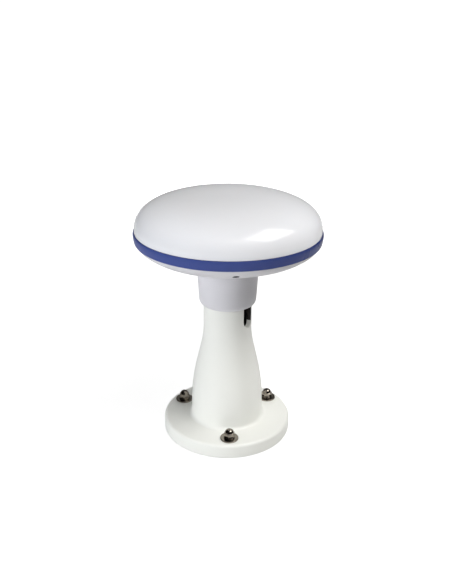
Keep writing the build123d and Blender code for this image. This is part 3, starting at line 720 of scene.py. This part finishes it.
def rubber(name, base, rough):
    """Dull black with a paler cloudy bloom."""
    base = srgb(*base)
    m = Finish(name)
    grain = m.noise(scale=900, detail=4, rough=0.6)
    bloom = m.noise(scale=45, detail=4, rough=0.6)
    col = m.mix(m.ramp(bloom, over=(0.45, 0.75), to=(0.0, 0.35)), base, shade(base, 2.2))
    m.set(Base_Color=col, Roughness=m.ramp(grain, over=(0.3, 0.7),
                                           to=(rough * 0.85, min(rough * 1.15, 1))))
    m.bump((grain, 0.03))


def board(name):
    """Green laminate with a brick pattern and a faint weave."""
    m = Finish(name)
    brick = m.add("ShaderNodeTexBrick", {
        "Vector": m.coords, "Scale": 160, "Mortar Size": 0.12, "Color1": srgb(24, 92, 56),
        "Color2": srgb(20, 84, 50), "Mortar": srgb(40, 124, 78)})
    weave = m.noise(scale=1400, detail=2, rough=0.5)
    col = m.mix(m.ramp(weave, over=(0.4, 0.7), to=(0, 0.25)), brick.outputs["Color"],
                srgb(15, 70, 42))
    m.set(Base_Color=col, Roughness=m.ramp(weave, over=(0.3, 0.7), to=(0.3, 0.42)))
    m.bump((brick.outputs["Fac"], 0.03), (weave, 0.01))


def ceramic(name, base):
    """Matt, grainy and finely pitted."""
    base = srgb(*base)
    m = Finish(name)
    grain = m.noise(scale=700, detail=5, rough=0.65)
    pit = m.noise(scale=2200, detail=1, rough=0.5)
    col = m.mix(m.ramp(grain, over=(0.35, 0.7)), base, shade(base, 0.9))
    col = m.mix(m.ramp(pit, over=(0.72, 0.78), to=(0, 0.5)), col, shade(base, 0.6))
    m.set(Base_Color=col, Roughness=m.ramp(grain, over=(0.3, 0.7), to=(0.5, 0.7)))
    m.bump((grain, 0.03), (pit, 0.02))


moulded("pedestal_paint", (242, 243, 238), rough=0.34, peel=0.007, peel_scale=700, coat=0.12,
        dark=0.975, worn=0.5, dust=0.03)
# the housing gets painted shade in its wide hollows
moulded("housing_grey", (217, 216, 221), rough=0.34, peel=0.012, peel_scale=1100, dark=0.975,
        hollow_shade=0.5)
moulded("radome_white", (231, 232, 236), rough=0.15, peel=0.006, peel_scale=700, dark=0.985,
        sss=0.05, dust=0.02, rub=0.15)
moulded("band_blue", (66, 80, 143), rough=0.30, peel=0.012, peel_scale=1000, dark=0.93,
        dust=0.04, spec=0.2)
metal("stainless", (158, 150, 140), rough=0.13, brush=(1, 1, 5), scale=420, wear=0.35,
      bump=0.005)
black_oxide("black_oxide_steel")
# dark material that stands for the shade inside the column and the notch
ceramic("cable_way_shade", (62, 58, 54))
# dark material that stands for the shade down the screw wells
ceramic("well_shade", (70, 70, 76))
metal("zinc_steel", (190, 192, 196), rough=0.32)
metal("tinned_steel", (205, 205, 202), rough=0.38, brush=(1, 5, 1))
metal("plate_aluminium", (214, 216, 219), rough=0.36, brush=(1, 9, 1))
metal("silver_plate", (226, 222, 212), rough=0.30, brush=(6, 1, 1))
metal("gold_plated_brass", (226, 186, 96), rough=0.22)
metal("brass", (200, 164, 92), rough=0.30)
metal("nickelled_brass", (196, 193, 186), rough=0.24, brush=(1, 1, 10))
rubber("seal_rubber", (26, 26, 27), rough=0.75)
rubber("cable_black", (30, 30, 31), rough=0.6)
rubber("component_black", (34, 34, 36), rough=0.5)
moulded("header_ivory", (226, 220, 196), rough=0.42, peel=0.02)
board("board_green")
ceramic("patch_ceramic", (214, 206, 186))
metal("thread_metal", (200, 201, 203), rough=0.28, brush=(1, 1, 6), scale=500)


# -------------------------------------------------------------------- assembly
def paint(ob, mat):
    ob.data.materials.clear()
    ob.data.materials.append(MATS[mat])


def place(ob, body, slot, stands_for=None, mat=None):
    """Paint a piece with its finish or its slot's, hang it under its body's empty and hide the CAD
    node it stands for.
    """
    paint(ob, mat or slot)
    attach(ob, body)
    if stands_for:
        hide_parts(stands_for)
    return ob


def paint_faces(ob, mat, chosen):
    """Give a second material to the faces whose centre (mm) and normal are chosen."""
    ob.data.materials.append(MATS[mat])
    for face in ob.data.polygons:
        if chosen(face.center / MM, face.normal):
            face.material_index = 1


def in_cable_way(c, normal):
    """Inside of the column and sides of the notch, which get a dark material as painted shade."""
    inside = 14 < c.z < 117.4 and math.hypot(c.x, c.y) < column(c.z) - 0.75
    return inside and normal.z < 0.55


# faces down the screw wells, which get the dark material as painted shade
def in_well(c, normal):
    return c.z < WELL_TOP + 0.5 and any(
        math.hypot(c.x - x, c.y - y) < WELL_R + 0.02 for x, y in SCREW_SPOTS)


# every CAD node takes the finish of its slot
SLOT_OF = {s["node"]: s["material_slot"] for s in frame["record"]["subparts"]}
for node_name, cad_ob in frame["nodes"].items():
    paint(cad_ob, SLOT_OF[node_name])

BASE, HEAD = "pedestal_base", "receiver_head"
pedestal = place(make_pedestal(), BASE, "pedestal_paint", "pedestal")
# painted shade: the inside of the column and the notch's sides made dark
paint_faces(pedestal, "cable_way_shade", in_cable_way)
place(thread("stub_thread", root_r=STUB_R, crest_r=12.64, pitch=1.8143, z0=120.2, z1=136.4,
             per_turn=72), BASE, "pedestal_paint", mat="thread_metal")
NUT_TURNS = [0.30, 0.95, 0.55]      # radians
for k, (spot, turn) in enumerate(zip(BOLT_SPOTS, NUT_TURNS), 1):
    place(flat_washer("flat_washer_%d" % k, spot), BASE, "stainless", "flat_washers")
    place(spring_washer("spring_washer_%d" % k, spot, turn * 3), BASE, "stainless",
          "spring_washers")
    place(cap_nut("cap_nut_%d" % k, spot, turn), BASE, "stainless", "cap_nuts")
place(seal_ring(), "seal_ring", "seal_rubber", "collar_seal")
place(make_radome(), HEAD, "radome_white", "radome")
housing = place(make_housing(), HEAD, "housing_grey", "lower_housing")
paint_faces(housing, "well_shade", in_well)
band = place(make_band(), HEAD, "band_blue", "trim_band")
# screw_slot falls back to stainless where the record has none for black steel; place paints the
# screws black steel either way
screw_slot = "black_oxide_steel" if "black_oxide_steel" in SLOT_OF.values() else "stainless"
for screw in [make_screw(k, c) for k, c in enumerate(SCREW_SPOTS)]:
    place(screw, HEAD, screw_slot, "housing_screws", mat="black_oxide_steel")
place(thread("connector_thread_ridge", root_r=6.0 - 0.32, crest_r=6.0, pitch=1.0, z0=129.6,
             z1=138.3, per_turn=48), HEAD, "nickelled_brass")


# ------------------------------------------------------------ stage, in metres
WHITE, WARM, COOL = (1, 1, 1), (1.0, 0.99, 0.97), (0.955, 0.975, 1.0)


def floor_material():
    """White paper sweep: bright to the camera, plainer to what it lights, with a faint shadow."""
    mat = bpy.data.materials.new("studio_floor")
    mat.use_nodes = True
    t = Nodes(mat.node_tree)
    shader = t.tree.nodes["Principled BSDF"]
    rays = t.add("ShaderNodeLightPath").outputs
    camera_ray = rays["Is Camera Ray"]
    geometry = t.add("ShaderNodeNewGeometry").outputs
    position = geometry["Position"]
    # the camera sees a glow that is a little weaker near the object
    reach = t.add("ShaderNodeVectorMath", {0: position}, operation="LENGTH").outputs["Value"]
    seen = t.ramp(reach, over=(0.08, 0.45), to=(0.84, 1.0))
    unseen = t.ramp(rays["Is Glossy Ray"], to=(0.005, 0.06))
    glow = t.add("ShaderNodeMix", {0: camera_ray, 2: unseen, 3: seen}, data_type="FLOAT")
    grain = t.add("ShaderNodeTexNoise", {"Scale": 40, "Vector": position}).outputs["Fac"]
    tone = t.math("MULTIPLY", t.ramp(grain, to=(0.60, 0.66)), t.ramp(camera_ray, to=(1.0, 0.5)))
    for key, value in {"Base Color": tone, "Roughness": 0.9, "Specular IOR Level": 0.1,
                       "Emission Color": (1, 1, 1, 1),
                       "Emission Strength": glow.outputs[0]}.items():
        t.plug(shader.inputs[key], value)
    # seen from below the floor is clear, so the underside can be looked at
    below = t.math("MULTIPLY", geometry["Backfacing"], camera_ray)
    clear = t.add("ShaderNodeBsdfTransparent")
    side = t.add("ShaderNodeMixShader", {"Fac": below, 1: shader.outputs[0], 2: clear.outputs[0]})
    t.plug(t.tree.nodes["Material Output"].inputs["Surface"], side.outputs[0])
    return mat


def make_sweep():
    """Floor that sweeps up into a backdrop behind the object."""
    bend, half_width, drop = 1.2, 4.0, 0.0002
    profile = [(-3.0, 0.0), (bend, 0.0)]
    profile += [(bend + bend * math.sin(a), bend - bend * math.cos(a))
                for a in [math.pi / 2 * k / 24 for k in range(1, 25)]]
    profile += [(2 * bend, 3.2)]
    verts = [(x, y, z - drop) for y, z in profile for x in (-half_width, half_width)]
    faces = [(2 * i, 2 * i + 1, 2 * i + 3, 2 * i + 2) for i in range(len(profile) - 1)]
    mesh = bpy.data.meshes.new("studio_sweep")
    mesh.from_pydata(verts, [], faces)
    ob = bpy.data.objects.new("studio_sweep", mesh)
    scene.collection.objects.link(ob)
    mesh.shade_smooth()
    mesh.materials.append(floor_material())


def make_world():
    """A dim warm room in reflections, white to the camera, a faint even fill for the rest."""
    world = bpy.data.worlds.new("studio")
    scene.world = world
    world.use_nodes = True
    t = Nodes(world.node_tree)
    t.tree.nodes.clear()

    def background(colour, strength):
        return t.add("ShaderNodeBackground", {"Color": colour, "Strength": strength}).outputs[0]

    def choose(ray, no, yes):
        return t.add("ShaderNodeMixShader", {"Fac": rays[ray], 1: no, 2: yes}).outputs[0]

    rays = t.add("ShaderNodeLightPath").outputs
    direction = t.add("ShaderNodeTexCoord").outputs["Generated"]
    height = t.add("ShaderNodeSeparateXYZ", {0: direction}).outputs["Z"]
    room = t.add("ShaderNodeValToRGB", {"Fac": height})
    stops = room.color_ramp.elements
    stops[0].position, stops[0].color = 0.0, (0.10, 0.09, 0.075, 1)
    stops[1].position, stops[1].color = 1.0, (0.05, 0.05, 0.05, 1)
    stops.new(0.35).color = (0.02, 0.018, 0.016, 1)
    white = (1, 1, 1, 1)
    lit = choose("Is Glossy Ray", background(white, strength=0.004),
                 background(room.outputs["Color"], strength=0.25))
    seen = choose("Is Camera Ray", lit, background(white, strength=1.0))
    t.add("ShaderNodeOutputWorld", {"Surface": seen})


def area(name, azimuth, elevation, distance, size, watts, colour=WHITE, mirrored=True):
    """Area light aimed at the object's middle.

    azimuth is counted from the front (-Y) towards +X; mirrored: seen in glossy surfaces.
    """
    a, e = math.radians(azimuth), math.radians(elevation)
    target = Vector((0, 0, 0.12))
    away = Vector((math.sin(a) * math.cos(e), -math.cos(a) * math.cos(e), math.sin(e)))
    position = target + away * distance
    light = bpy.data.lights.new(name, "AREA")
    light.shape, light.energy, light.color = "RECTANGLE", watts, colour
    light.size, light.size_y = size
    ob = bpy.data.objects.new(name, light)
    ob.location = position
    ob.rotation_euler = (target - position).to_track_quat("-Z", "Y").to_euler()
    ob.visible_glossy = mirrored
    scene.collection.objects.link(ob)
    return ob


def make_lights():
    key = area("key_right", azimuth=78, elevation=57, distance=1.3, size=(0.95, 0.7), watts=9.8,
               colour=WARM)
    # the key leaves out the band
    shaded = bpy.data.collections.new("shaded_from_key")
    shaded.objects.link(band)
    key.light_linking.receiver_collection = shaded
    shaded.collection_objects[0].light_linking.link_state = "EXCLUDE"
    area("key_front", azimuth=30, elevation=55, distance=1.3, size=(1.0, 0.75), watts=8.2,
         colour=WARM, mirrored=False)
    area("key_front_sheen", azimuth=34, elevation=58, distance=1.3, size=(0.9, 0.6), watts=1.5,
         colour=WARM)
    area("left_low", azimuth=-58, elevation=-2, distance=1.2, size=(0.6, 0.14), watts=9.3,
         colour=COOL, mirrored=False)
    area("left_side", azimuth=-80, elevation=-1, distance=1.2, size=(0.6, 0.16), watts=0.7,
         colour=COOL, mirrored=False)
    area("back_fill", azimuth=180, elevation=50, distance=1.4, size=(0.9, 0.6), watts=1.0,
         mirrored=False)
    area("back_low", azimuth=180, elevation=3, distance=1.3, size=(1.0, 0.18), watts=7.0,
         mirrored=False)


def make_camera():
    eye, aim = Vector((-0.0293, -0.5598, 0.35846)), Vector((0, 0, 0.12502))
    roll = math.radians(0.468)
    data = bpy.data.cameras.new("camera")
    camera = bpy.data.objects.new("camera", data)
    scene.collection.objects.link(camera)
    scene.camera = camera
    data.sensor_fit = "AUTO"
    data.sensor_width = 36.0
    data.lens = 45.5732877
    data.shift_x = -0.0029965753
    data.clip_start, data.clip_end = 0.01, 50
    look = (aim - eye).to_track_quat("-Z", "Y").to_matrix().to_4x4()
    camera.matrix_world = Matrix.Translation(eye) @ look @ Matrix.Rotation(roll, 4, "Z")


make_sweep()
make_world()
make_lights()
make_camera()

scene.view_settings.view_transform = "Standard"
scene.view_settings.look = "None"
scene.view_settings.exposure = 0.0
scene.cycles.use_denoising = True
scene.cycles.max_bounces = 8
